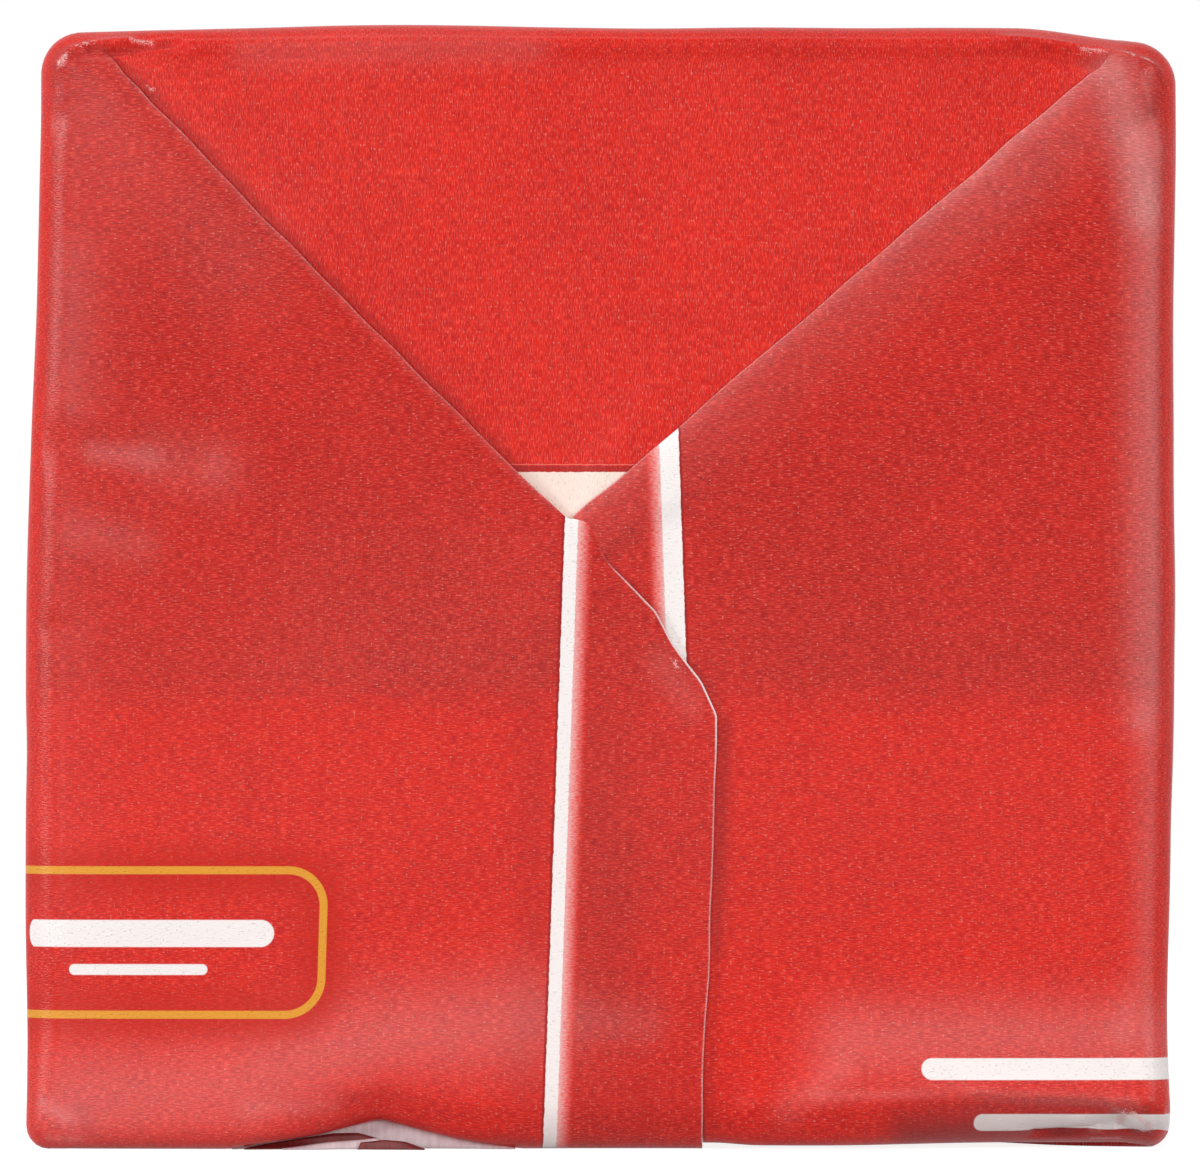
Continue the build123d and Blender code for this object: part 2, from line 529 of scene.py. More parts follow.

# Marks on an end: a route, a width and a strength. First, painted sheen: pale patches that stand in for
# highlights
END_PAINTED_SHEEN = [
    ([(-29.0, 2.6), (-20.0, 3.6), (-12.0, 6.2), (-4.5, 7.2)], 3.0, 0.95),
    ([(-19.5, 2.1), (-15.0, 1.6)], 0.6, 0.5),
    ([(14.0, 6.0), (22.0, 6.2), (31.0, 6.2)], 2.3, 0.95),
    ([(12.0, 2.9), (20.0, 3.3), (30.0, 2.7)], 0.3, 0.7),
    ([(27.6, 0.8), (28.3, 1.2), (29.5, 1.5)], 0.22, 1.0),
    ([(3.4, 27.0), (5.0, 24.6)], 0.9, 0.4),
    ([(10.4, 2.2), (13.4, 4.4)], 0.8, 0.5),
    ([(-25.0, 19.0), (25.0, 19.0)], 13.0, 0.14),
    ([(28.4, 60.9), (29.2, 58.4), (30.3, 53.0)], 1.3, 1.3),
    ([(30.2, 57.0), (30.2, 24.0)], 1.2, 0.95),
    ([(30.2, 24.0), (30.3, 10.0), (29.2, 6.5)], 0.75, 0.45),
    ([(-29.9, 50.0), (-29.7, 42.0)], 1.5, 0.3),
    ([(-28.2, 38.8), (-25.2, 38.5)], 0.7, 0.7),
    ([(-24.5, 38.4), (-21.5, 37.8)], 1.8, 0.4),
    ([(-29.0, 34.4), (-25.6, 33.6)], 1.2, 0.4),
    ([(-31.0, 2.5), (-29.6, 1.8)], 0.45, 0.9),
    ([(-30.6, 0.45), (-29.0, 0.35)], 0.35, 0.8),
    ([(-1.5, 7.2), (2.5, 7.0)], 1.3, 0.4),
    ([(-29.0, 58.0), (-21.0, 50.0)], 3.6, 0.25),
    ([(-20.0, 61.4), (-4.0, 61.6)], 1.2, 0.45),
]

# Painted shade: patches where the red is darkened, over the lip, under the squeezed crest, in the corners,
# by the seam
END_PAINTED_SHADE = [
    ([(-19.0, 0.1), (-4.0, 0.1)], 0.6, 0.9),
    ([(17.5, 0.8), (24.0, 1.0), (30.5, 1.2)], 1.2, 2.0),
    ([(-28.9, 2.3), (-28.3, 0.9)], 0.5, 0.7),
    ([(-3.6, 24.5), (-3.9, 12.0), (-4.2, 2.6)], 1.0, 0.5),
    ([(0.0, 23.0), (0.6, 8.0)], 1.5, 0.3),
    ([(-1.0, 2.8), (5.0, 2.8)], 1.8, 0.5),
    ([(6.95, 23.8), (6.75, 17.0), (6.6, 11.0)], 0.45, 0.9),
    ([(5.0, 62.0), (27.0, 60.8)], 3.0, 0.17),
    ([(-30.6, 60.0), (-30.6, 44.0)], 1.6, 0.3),
    ([(25.2, 0.2), (26.5, 0.6), (27.6, 1.1)], 0.22, 1.5),
    ([(30.0, 1.0), (30.3, 1.8)], 0.2, 1.2),
    ([(30.1, 58.3), (30.8, 59.1)], 0.5, 1.0),
    ([(-29.0, 61.7), (-27.1, 61.8), (-24.6, 62.4)], 0.27, 1.2),
    ([(27.2, 61.2), (28.0, 61.8)], 0.4, 0.9),
]

# Places where the print is worn down to the paper
END_SCUFFS = [
    ([(-31.0, 60.6), (-30.5, 61.2)], 0.22, 1.2),
    ([(-30.1, 61.8), (-28.8, 62.4)], 0.14, 1.0),
    ([(-26.8, 62.6), (-25.6, 62.6)], 0.14, 0.9),
    ([(26.4, 62.2), (28.0, 62.15)], 0.12, 0.9),
    ([(29.0, 62.2), (29.9, 61.85), (30.9, 61.5)], 0.14, 1.1),
    ([(29.0, 61.6), (30.3, 60.8)], 0.1, 0.6),
    ([(29.2, 1.5), (29.3, 2.0)], 0.2, 1.8),
    ([(29.7, 2.1), (30.6, 1.6), (30.8, 1.1), (30.4, 0.85)], 0.14, 1.6),
    ([(31.0, 0.95), (31.4, 1.3)], 0.12, 1.4),
    ([(27.5, 0.1), (29.2, 0.1)], 0.16, 1.2),
    ([(4.1, 27.1), (4.3, 26.7)], 0.13, 1.1),
    ([(-26.0, 59.4), (-25.6, 59.1)], 0.1, 1.0),
]


def segment_gap(points, start, end):
    """How far points in space are from the segment between two others."""
    step = end - start
    share = np.clip(((points - start) @ step) / (step @ step), 0.0, 1.0)
    return np.linalg.norm(points - start - share[:, None] * step, axis=1)


def route_gap(points, route):
    """How far points in space are from a route. A route on one end is mirrored on the other."""
    if len(route[0]) == 2:
        points = np.column_stack([points[:, 0], -np.abs(points[:, 1]), points[:, 2]])
        route = [(u, -L2, v) for u, v in route]
    places = rows(route)
    return np.min([segment_gap(points, a, b) for a, b in zip(places, places[1:])], axis=0)


def marked(points, patches):
    """How strongly places on the sharp-edged box are marked by a list of patches."""
    total = np.zeros(len(points))
    for route, width, strength in patches:
        total += strength * np.exp(-((route_gap(points, route) / width) ** 2))
    return total


def unevenness(points):
    """The height that waves and creases add at places on the sharp-edged box. It is mostly inward."""
    calm = smooth(0.0, 6.0, points[:, 2])
    height = -WAVE_HEIGHT * (0.45 + 0.6 * waves(points, 17.0, 3)) * calm
    height += 0.2 * WAVE_HEIGHT * waves(points, 6.5, 4) * calm
    for route, width, stands, sharp in END_CREASES + LONG_CREASES:
        gap = route_gap(points, route) / width
        height += stands * (np.exp(-gap) if sharp else np.exp(-(gap**2)))
    return height


# ---- triangulating a side


def border(side):
    """Points around a side, in order. The two sides that share an edge of the block get the same ones."""
    loop = []
    corners = side.corners()
    for start, end in zip(corners, np.roll(corners, -1, axis=0)):
        step = end - start
        length = np.linalg.norm(step)
        spacing = LONG_SPACING if abs(step[1]) > 1.0 else EDGE_SPACING
        share = np.linspace(0.0, 1.0, int(round(length / spacing)) + 1)[:-1]
        loop.append(start + share[:, None] * step)
    return side.flat(np.concatenate(loop))


def wanted_spacing(side, uv, folds):
    """The mesh spacing that each place of a side needs, worked out once for each half millimetre."""
    uv, cell = np.unique(np.round(2.0 * uv) / 2.0, axis=0, return_inverse=True)
    wanted = np.full(len(uv), OPEN_SPACING[side.name])
    wanted = np.minimum(wanted, EDGE_SPACING + 0.3 * np.maximum(side.border_distance(uv) - 2.4, 0.0))
    for fold in folds:
        wanted = np.minimum(wanted, FINE + 0.3 * np.maximum(np.abs(fold.measure(uv)[0]) - 0.5, 0.0))
    places = side.at(uv)
    for route, width, _, _ in END_CREASES + LONG_CREASES:
        wanted = np.minimum(wanted, max(0.5 * width, FINE) + 0.35 * route_gap(places, route))
    return wanted[cell.ravel()]


def filling(side, folds):
    """Points inside a side: a square lattice that is finer where the surface has more detail."""
    columns, lines = (int(size / FINE) for size in side.size)
    i, j = (grid.ravel() for grid in np.meshgrid(np.arange(1, columns), np.arange(1, lines)))
    level = np.minimum((i | j) & -(i | j), COARSEST)
    uv = np.column_stack([(i / columns - 0.5) * side.size[0], j / lines * side.size[1]])
    uv = uv[wanted_spacing(side, uv, folds) < math.sqrt(2.0) * level * FINE]
    clear = side.border_distance(uv) > 0.6 * FINE
    for fold in folds:
        gap = fold.measure(uv)[0]
        clear &= (gap < fold.LINES[0] - 0.06) | (gap > fold.LINES[-1] + 0.06)
    return uv[clear]


def fold_lines(side, folds):
    """The lines along every fold, where no earlier fold covers them, and the neighbours on them."""
    points, pairs = [], []
    for number, fold in enumerate(folds):
        for offset in fold.LINES:
            line = fold.line(offset)
            open_air = side.border_distance(line) > -1e-9
            for upper in (fold for fold in folds[:number] if fold.covers):
                open_air &= upper.measure(line)[0] < upper.LINES[0] - 0.05
            first = len(points)
            kept = np.flatnonzero(open_air)
            points += list(line[kept])
            steps = range(len(kept) - 1)
            pairs += [(first + k, first + k + 1) for k in steps if kept[k + 1] == kept[k] + 1]
    return points, pairs


def triangulate(side, folds):
    """Points and triangles of a side in its own coordinates."""
    loop = border(side)
    lines, pairs = fold_lines(side, folds)
    inside = filling(side, folds)
    points = [Vector(p) for p in loop] + [Vector(p) for p in lines] + [Vector(p) for p in inside]
    edges = [(a + len(loop), b + len(loop)) for a, b in pairs]
    outline = [list(range(len(loop)))]
    found = delaunay_2d_cdt(points, edges, outline, 1, 1e-6)
    uv = rows([tuple(p) for p in found[0]])
    triangles = np.array([face for face in found[2] if len(face) == 3])
    a, b, c = (uv[triangles[:, k]] for k in range(3))
    turn = (b - a)[:, 0] * (c - a)[:, 1] - (b - a)[:, 1] * (c - a)[:, 0]
    triangles[turn < 0] = triangles[turn < 0][:, ::-1]
    return uv, triangles


# ---- the flat sheet


# The side flaps lie a little askew: how much they lean, and the height at which they don't
FLAP_LEAN = 0.035
APEX_DOWN = HEIGHT - APEX[1]


def flap_sheet(outward, u, down):
    """Where places on the left and the right flap of an end lie, a distance down from the top edge."""
    lean = FLAP_LEAN * (down - APEX_DOWN)
    places = []
    for hand in (-1, 1):
        inward = W2 - hand * u
        along = L2 + inward + lean * smooth(0.0, 12.0, inward)
        places.append((-hand * outward * (W2 + down), outward * along))
    return places


def end_sheet(side, zone, uv):
    """Where places on an end lie on the opened-out wrapper."""
    outward = 1 if side is BACK else -1
    u, down = uv[:, 0], HEIGHT - uv[:, 1]
    left, right = flap_sheet(outward, u, down)
    across = np.choose(zone, [left[0], right[0], -outward * u])
    along = np.choose(zone, [left[1], right[1], outward * (L2 + down)])
    return np.column_stack([across, along])


def under_sheet(side, zone, uv):
    """Where places underneath lie on the opened-out wrapper."""
    x, y = uv[:, 0], L2 - uv[:, 1]
    outward = np.sign(y)
    girth = W2 + HEIGHT
    left, right = flap_sheet(outward, -outward * x, HEIGHT + L2 - np.abs(y))
    across = np.choose(zone, [girth + W2 - x, -(girth + W2 + x), left[0], right[0]])
    along = np.choose(zone, [y, y, left[1], right[1]])
    return np.column_stack([across, along])


def long_sheet(side, uv):
    """Where places on the top and the two long sides lie on the opened-out wrapper."""
    places = side.at(uv)
    x, y, down = places[:, 0], places[:, 1], HEIGHT - places[:, 2]
    if side is TOP:
        return np.column_stack([x, y])
    return np.column_stack([x + np.sign(x) * down, y])


# ---- the skin


def new_mesh(name, points, faces, sheet, shown):
    """A smooth mesh, in metres. sheet is the UV map of its corners, shown the material of each face."""
    mesh = bpy.data.meshes.new(name)
    mesh.from_pydata((rows(points) * MM).tolist(), [], faces)
    mesh.uv_layers.new(name="Sheet").data.foreach_set("uv", rows(sheet).ravel())
    mesh.polygons.foreach_set("material_index", shown)
    mesh.shade_smooth()
    return mesh


class Skin:
    """The whole wrapper as one closed mesh."""

    MARKS = ("rim", "painted_shade", "painted_sheen", "scuff")

    def __init__(self):
        self.places = []
        self.shared = {}
        self.triangles = []
        self.sheet = []
        self.bare = []
        self.marks = []

    def add(self, side, folds, relief=no_relief, zones=None, sheet=None):
        """Triangulate a side and join it to those already there."""
        uv, triangles = triangulate(side, folds)
        shift, height, fold_marks = relief(side, uv)
        moved = uv + shift
        box_places = side.at(moved)
        surface, outward = rounded(box_places)
        surface = surface + outward * (height + unevenness(box_places))[:, None]
        rim, painted_shade, painted_sheen = fold_marks.T
        # Painted shade and painted sheen from the listed patches, added to those along the folds
        painted_shade = painted_shade + marked(box_places, END_PAINTED_SHADE)
        painted_sheen = painted_sheen + marked(box_places, END_PAINTED_SHEEN)
        marks = np.column_stack([rim, painted_shade, painted_sheen, marked(box_places, END_SCUFFS)])
        index = self._indices(side, uv, np.clip(settle(surface), LOW, HIGH), marks)
        self.triangles.append(index[triangles])
        middle = uv[triangles].mean(axis=1)
        corners = moved[triangles].reshape(-1, 2)
        if zones:
            zone, bare = zones(side, middle)
            self.sheet.append(sheet(side, np.repeat(zone, 3), corners))
            self.bare.append(bare)
        else:
            self.sheet.append(long_sheet(side, corners))
            self.bare.append(np.zeros(len(triangles), dtype=bool))

    def _indices(self, side, uv, surface, marks):
        """The skin's number for each point of a side. Points on an edge of the block are shared."""
        keys = np.round(side.at(uv) * 1000.0).astype(int)
        on_edge = side.border_distance(uv) < 1e-4
        index = np.empty(len(uv), dtype=int)
        for k, (key, shared) in enumerate(zip(map(tuple, keys), on_edge)):
            if shared and key in self.shared:
                index[k] = self.shared[key]
                continue
            index[k] = len(self.places)
            self.places.append(surface[k])
            self.marks.append(marks[k])
            if shared:
                self.shared[key] = index[k]
        return index

    def mesh(self, name):
        """The Blender mesh, with the marks as attributes."""
        triangles = np.concatenate(self.triangles).tolist()
        bare = np.concatenate(self.bare).astype(int)
        mesh = new_mesh(name, self.places, triangles, np.concatenate(self.sheet), bare)
        for mark, values in zip(self.MARKS, np.array(self.marks).T):
            mesh.attributes.new(mark, "FLOAT", "POINT").data.foreach_set("value", values.copy())
        return mesh


def wrapper_mesh():
    """The wrapper on all six sides of the block."""
    skin = Skin()
    for side in (FRONT, BACK):
        skin.add(side, END_FOLDS[side.name], end_relief, end_zone, end_sheet)
    skin.add(UNDER, UNDER_FOLDS + TUCKS, under_relief, under_zone, under_sheet)
    for side in (LEFT, RIGHT, TOP):
        skin.add(side, ())
    return skin.mesh("wrapper")


# ---- shader helpers


def math_method(name):
    """A method that puts a math node after a field."""
    return lambda field, *others: field.graph.math(name, field, *others)


class Field:
    """A number that varies over the surface. Arithmetic on it adds nodes to its material."""

    __add__ = __radd__ = math_method("ADD")
    __mul__ = __rmul__ = math_method("MULTIPLY")
    __sub__ = math_method("SUBTRACT")
    __abs__ = math_method("ABSOLUTE")
    sign = math_method("SIGN")
    above = math_method("GREATER_THAN")
    larger = math_method("MAXIMUM")
    smaller = math_method("MINIMUM")
    root = math_method("SQRT")

    def __init__(self, graph, socket):
        self.graph = graph
        self.socket = socket

    def __rsub__(self, other):
        return self.graph.math("SUBTRACT", other, self)

    def rise(self, low, high):
        """Rise smoothly from 0 where the field is low to 1 where it is high."""
        node = self.graph.node("ShaderNodeMapRange")
        node.interpolation_type = "SMOOTHSTEP"
        for name, value in (("Value", self), ("From Min", low), ("From Max", high)):
            self.graph.feed(node.inputs[name], value)
        return Field(self.graph, node.outputs["Result"])


class Graph:
    """The nodes of one material."""

    def __init__(self, name):
        self.material = bpy.data.materials.new(name)
        self.material.use_nodes = True
        self.tree = self.material.node_tree
        self.shader = self.tree.nodes["Principled BSDF"]

    def node(self, kind):
        return self.tree.nodes.new(kind)

    def feed(self, socket, value):
        """Link a field to a socket, or set the socket to a plain value."""
        if isinstance(value, Field):
            self.tree.links.new(value.socket, socket)
        else:
            socket.default_value = value

    def math(self, operation, *values):
        node = self.node("ShaderNodeMath")
        node.operation = operation
        for socket, value in zip(node.inputs, values):
            self.feed(socket, value)
        return Field(self, node.outputs[0])

    def sheet(self):
        """The two flat-sheet coordinates, in millimetres: across the wrapper and along the block."""
        uv = self.node("ShaderNodeUVMap")
        uv.uv_map = "Sheet"
        parts = self.node("ShaderNodeSeparateXYZ")
        self.tree.links.new(uv.outputs["UV"], parts.inputs["Vector"])
        return Field(self, parts.outputs["X"]), Field(self, parts.outputs["Y"])

    def attribute(self, name):
        node = self.node("ShaderNodeAttribute")
        node.attribute_name = name
        return Field(self, node.outputs["Fac"])

    def grain(self, across, along, widths, detail=2.0, seed=0.0):
        """Noise with its own feature size, in millimetres, across the sheet and along it."""
        join = self.node("ShaderNodeCombineXYZ")
        self.feed(join.inputs["X"], across * (1.0 / widths[0]))
        self.feed(join.inputs["Y"], along * (1.0 / widths[1]))
        join.inputs["Z"].default_value = seed
        node = self.node("ShaderNodeTexNoise")
        node.inputs["Scale"].default_value = 1.0
        node.inputs["Detail"].default_value = detail
        self.tree.links.new(join.outputs["Vector"], node.inputs["Vector"])
        return Field(self, node.outputs["Fac"])

    def paint(self, under, colour, amount):
        """Lay a colour over another where amount is 1."""
        node = self.node("ShaderNodeMix")
        node.data_type = "RGBA"
        self.feed(node.inputs["Factor"], amount)
        for socket, value in ((node.inputs[6], under), (node.inputs[7], colour)):
            self.feed(socket, value if isinstance(value, Field) else (*value, 1.0))
        return Field(self, node.outputs[2])

    def bump(self, height, depth):
        """Relief on the shader, with its depth in millimetres."""
        node = self.node("ShaderNodeBump")
        node.inputs["Distance"].default_value = depth * MM
        self.feed(node.inputs["Height"], height)
        self.tree.links.new(node.outputs["Normal"], self.shader.inputs["Normal"])


def panel_gap(x, y, half_x, half_y, radius):
    """How far places are outside a rectangle with round corners. It is negative inside."""
    out_x = (abs(x) - (half_x - radius)).larger(0.0)
    out_y = (abs(y) - (half_y - radius)).larger(0.0)
    inside = (abs(x) - (half_x - radius)).larger(abs(y) - (half_y - radius)).smaller(0.0)
    return (out_x * out_x + out_y * out_y).root() + inside - radius


# ---- the wrapper's paper

LIGHT_RED = (0.86, 0.018, 0.003)
DARK_RED = (0.47, 0.001, 0.001)
LIGHT_DULL_RED = (0.71, 0.020, 0.010)
DARK_DULL_RED = (0.33, 0.002, 0.001)
# Pale pink: for print worn down to the paper, and for the painted sheen
WORN_AND_SHEEN_PINK = (0.95, 0.62, 0.60)
# Deep red: the colour of the painted shade, and of the thin dark line beside the white end line
DEEP_RED = (0.30, 0.006, 0.006)
PALE_RED = (0.86, 0.24, 0.19)
GLOW_RED = (0.53, 0.010, 0.001)
GOLD = (0.78, 0.33, 0.03)
WHITE = (0.97, 0.91, 0.89)
CREAM = (0.95, 0.78, 0.69)

# Where the white line along each end of the sheet runs, from the end of the block, on the three flaps
LINE_ON_LEFT = 30.07
LINE_ON_RIGHT = 27.5
LINE_ON_TOP = 25.0

# The flaps that lie on the top flap look duller down to this far from the top
DULL_REACH = 37.5

# Panels: their half sizes along the block and across the sheet, and the rounding of their corners
SMALL_PANEL = (10.6, 4.0, 2.0)
LARGE_PANEL = (42.0, 17.0, 6.0)
NARROWER_ON_SIDE = 3.0

# Plain bars: for each, its place across the sheet, and its half sizes along the block and across the sheet
SMALL_PANEL_BARS = ((0.5, 7.9, 0.75), (-1.5, 4.2, 0.3))
LARGE_PANEL_BARS = ((-3.5, 27.0, 2.4), (2.5, 20.0, 0.7), (5.5, 14.0, 0.7))
FOOT_BARS = ((90.1, 15.8, 0.6), (93.1, 12.9, 0.5))


# Plain papers: a name, a dark and a light colour, the size of a fibre, and a roughness. They are the white
# fibres of a cut edge, the unprinted inside, and the print on the layers folded under the block, painted
# a very deep red for the shade it lies in
CUT_EDGE = ("cut paper edge", (0.80, 0.62, 0.58), (0.9, 0.85, 0.82), (0.1, 0.3), 0.7)
INNER_PAPER = ("inner paper", (0.54, 0.40, 0.42), (0.65, 0.52, 0.54), (0.3, 1.2), 0.5)
SHADE_DARK_TUCKED_PRINT = ("tucked print in painted shade", (0.09, 0.004, 0.004), (0.17, 0.010, 0.009), (0.2, 0.9), 0.45)


def printed_paper():
    """Satin red parchment paper with its generic print, laid out on the flat sheet."""
    graph = Graph("printed paper")
    across, along = graph.sheet()
    side_of_block = abs(across) - W2
    on_side = side_of_block.above(0.0)
    beyond = abs(along) - L2

    on_right = (across * (-1.0 * along.sign())).above(W2)
    wobble = (graph.grain(across, along, (0.3, 0.6), 2.0, 19.0) - 0.5) * 0.1
    line = LINE_ON_TOP + on_side * (LINE_ON_LEFT - LINE_ON_TOP) + on_right * (LINE_ON_RIGHT - LINE_ON_LEFT)
    past = beyond - line + wobble

    dull, ribs = flap_marks(graph, across, along, side_of_block, beyond)
    dull = dull.larger(past.rise(0.6, 1.6) * on_side * (0.8 - past.rise(3.0, 7.0) * 0.34))
    colour, relief = paper_grain(graph, across, along, dull, ribs)
    # Painted shade: the red is darkened beside the folds and in the listed patches
    colour = graph.paint(colour, DEEP_RED, graph.attribute("painted_shade") * 0.4)
    # Painted sheen: pale patches along the folds' crests and in the listed patches stand in for highlights
    colour = graph.paint(colour, WORN_AND_SHEEN_PINK, graph.attribute("painted_sheen") * 0.13 * (relief + 0.5))
    colour = end_lines(graph, colour, across, along, on_side, on_right, past)
    colour = small_panels(graph, colour, across, along)
    colour = foot_bars(graph, colour, across, along)
    colour = large_panels(graph, colour, across, along, on_side)

    speck = graph.grain(across, along, (0.07, 0.1), 1.0, 31.0) - 0.5
    # The paper's pale edge: bare white at a cut, and a painted highlight along the folded edges
    rim = (graph.attribute("rim") + speck * 0.6).rise(0.1, 0.9)
    colour = graph.paint(colour, WHITE, rim * 0.8)
    worn = (graph.attribute("scuff") + speck * 2.2).rise(0.45, 1.1)
    colour = graph.paint(colour, WORN_AND_SHEEN_PINK, worn * 0.65)
    graph.tree.links.new(colour.socket, graph.shader.inputs["Base Color"])

    graph.feed(graph.shader.inputs["Roughness"], 0.29 + relief * 0.12)
    graph.shader.inputs["Specular IOR Level"].default_value = 0.28
    graph.bump(relief, 0.026)
    return graph.material


def paper_grain(graph, across, along, dull, ribs):
    """Red paper with short pale strokes, clouds and flecks, the pale strokes and flecks partly painted
    glints: its colour and its relief.
    """
    stroke = graph.grain(across, along, (0.07, 0.40), 1.0)
    patch = graph.grain(across, along, (0.5, 1.6), 2.0, 7.0)
    cloud = graph.grain(across, along, (9.0, 11.0), 2.0, 3.0)
    fleck = graph.grain(across, along, (0.09, 0.20), 0.0, 11.0)
    light = stroke.rise(0.3, 0.7) * 0.66 + patch.rise(0.3, 0.7) * 0.22 + cloud.rise(0.35, 0.65) * 0.12
    bright = graph.paint(DARK_RED, LIGHT_RED, light)
    duller = graph.paint(DARK_DULL_RED, LIGHT_DULL_RED, light)
    colour = graph.paint(bright, duller, dull)
    sparkle = fleck.rise(0.68, 0.80)
    # Pale strokes and flecks: the paper's grain, partly painted glints on its fibres
    pale = stroke.rise(0.52, 0.78) * 0.2 + ribs.rise(0.5, 0.8) * 0.12 + sparkle * 0.6
    return graph.paint(colour, PALE_RED, pale), stroke * 0.9 + sparkle * 0.9 + ribs * 0.6


def flap_marks(graph, across, along, side_of_block, beyond):
    """Where the side flaps lie on the top flap they are duller, and its grain shows through as ribs."""
    wander = (graph.grain(across, along, (0.5, 3.0), 2.0, 37.0) - 0.5) * 1.6
    upper = (side_of_block + wander).rise(DULL_REACH + 1.5, DULL_REACH - 1.5)
    dull = beyond.rise(-0.5, 0.5) * side_of_block.rise(0.0, 1.0) * upper
    rib = graph.grain(across, along, (0.5, 0.09), 1.0, 23.0)
    window = side_of_block.rise(23.0, 29.0) * upper * beyond.rise(11.0, 16.0) * beyond.rise(30.2, 29.6)
    return dull * 0.9, rib * window * (across * along).above(0.0)


def end_lines(graph, colour, across, along, on_side, on_right, past):
    """The white line along each end of the sheet: crisp on the block's side, brushed out on the other."""
    brushed = graph.grain(across, along, (0.07, 0.24), 1.0, 29.0) - 0.5
    width = 0.74 + on_right * 0.34
    before = past.rise(0.02, -0.02)
    begun = past.rise(-0.02, 0.02)
    over = past - width
    rim = past.rise(-0.17, -0.12) * before
    wide_rim = past.rise(-0.36, -0.32) * before
    thin_line = past.rise(-0.46, -0.43) * past.rise(-0.38, -0.41)
    solid = (over + brushed * 0.12).rise(0.03, -0.03)
    faded = over.rise(0.85, -0.5) * 0.7 + brushed * over.rise(0.9, 0.2) * 0.7
    white = begun * solid.larger(faded.larger(0.0))
    halo = begun * over.rise(0.95, 0.3)
    colour = graph.paint(colour, LIGHT_RED, halo * on_side * 0.8)
    colour = graph.paint(colour, DEEP_RED, rim * on_side * 0.8 + wide_rim * (1.0 - on_side) * 0.6)
    colour = graph.paint(colour, PALE_RED, thin_line * (1.0 - on_side) * 0.6)
    colour = graph.paint(colour, WHITE, white * on_side)
    return graph.paint(colour, CREAM, begun * (1.0 - on_side))


def outlined_panel(graph, colour, gap, line, where):
    """A panel's gold outline in a deeper red glow. gap is the distance outside it."""
    glow = gap.rise(2.2, 0.2) * gap.rise(-2.6, -0.2)
    colour = graph.paint(colour, GLOW_RED, glow * where * 0.65)
    return graph.paint(colour, GOLD, abs(gap).rise(line + 0.03, line - 0.03) * where)


def bars(graph, colour, x, y, sizes, where=1.0):
    """Plain white bars with round ends."""
    for place, half_x, half_y in sizes:
        gap = panel_gap(x, y - place, half_x, half_y, half_y)
        colour = graph.paint(colour, WHITE, gap.rise(0.04, -0.04) * where)
    return colour


def small_panels(graph, colour, across, along):
    """A row of gold-outlined panels with bars along the foot of the left side and round onto the ends."""
    x = abs(abs(along) - 46.4) - 23.15
    y = across + 83.1
    on_left = (0.0 - across).above(0.0)
    colour = outlined_panel(graph, colour, panel_gap(x, y, *SMALL_PANEL), 0.22, on_left)
    return bars(graph, colour, x, y, SMALL_PANEL_BARS, on_left)


def foot_bars(graph, colour, across, along):
    """Two rows of bars along the foot of the right side and round onto the ends."""
    x = abs(abs(along) - 31.0) - 31.0
    return bars(graph, colour, x, across, FOOT_BARS)


def large_panels(graph, colour, across, along, on_side):
    """One large gold-outlined panel with bars on the top and on each long side."""
    y = across * (1.0 - on_side) + (abs(across) - 57.5) * on_side
    half_x, half_y, radius = LARGE_PANEL
    gap = panel_gap(along, y, half_x, half_y - on_side * NARROWER_ON_SIDE, radius)
    colour = outlined_panel(graph, colour, gap, 0.45, 1.0)
    colour = graph.paint(colour, GOLD, abs(gap + 1.7).rise(0.16, 0.10))
    return bars(graph, colour, along, y, LARGE_PANEL_BARS)


def plain_paper(name, dark, light, widths, roughness):
    """Fibrous paper without the generic print."""
    graph = Graph(name)
    across, along = graph.sheet()
    fibre = graph.grain(across, along, widths, 3.0)
    colour = graph.paint(dark, light, fibre.rise(0.3, 0.7))
    graph.tree.links.new(colour.socket, graph.shader.inputs["Base Color"])
    graph.shader.inputs["Roughness"].default_value = roughness
    graph.bump(fibre, 0.02)
    return graph.material


# ---- pieces


# The layers seen under the lifted lip, from the back one to the front one: how far behind the front they
# stand, which material they show (0 inner paper, 1 print painted deep red for shade), and the outline of
# their top
BACK_RISE = [(-20.4, 0.02), (-18.7, 0.6), (-15.7, 1.05), (-12.3, 1.9)]
BACK_FALL = [(-10.2, 1.35), (-6.6, 0.55), (-4.7, 0.02)]
TUCKED_LAYERS = [
    (1.5, 0, BACK_RISE + BACK_FALL),
    (1.15, 1, [(-19.7, 0.02), (-18.7, 0.22), (-14.8, 0.84), (-13.4, 0.86), (-12.3, 0.56), (-12.2, 0.02)]),
    (0.85, 0, [(-17.6, 0.02), (-15.1, 0.36), (-13.4, 0.48), (-12.2, 0.6), (-12.0, 0.02)]),
    (0.55, 1, [(-13.4, 0.02), (-13.3, 0.36), (-11.9, 0.5), (-10.8, 0.4), (-9.7, 0.02)]),
]
TUCKED_STEPS = 4
TUCKED_SPACING = 0.15
TUCKED_BASE = 0.07
TUCKED_SLOPE = 0.25
TUCKED_SWAY = 0.1
PAPER_THICKNESS = 0.06


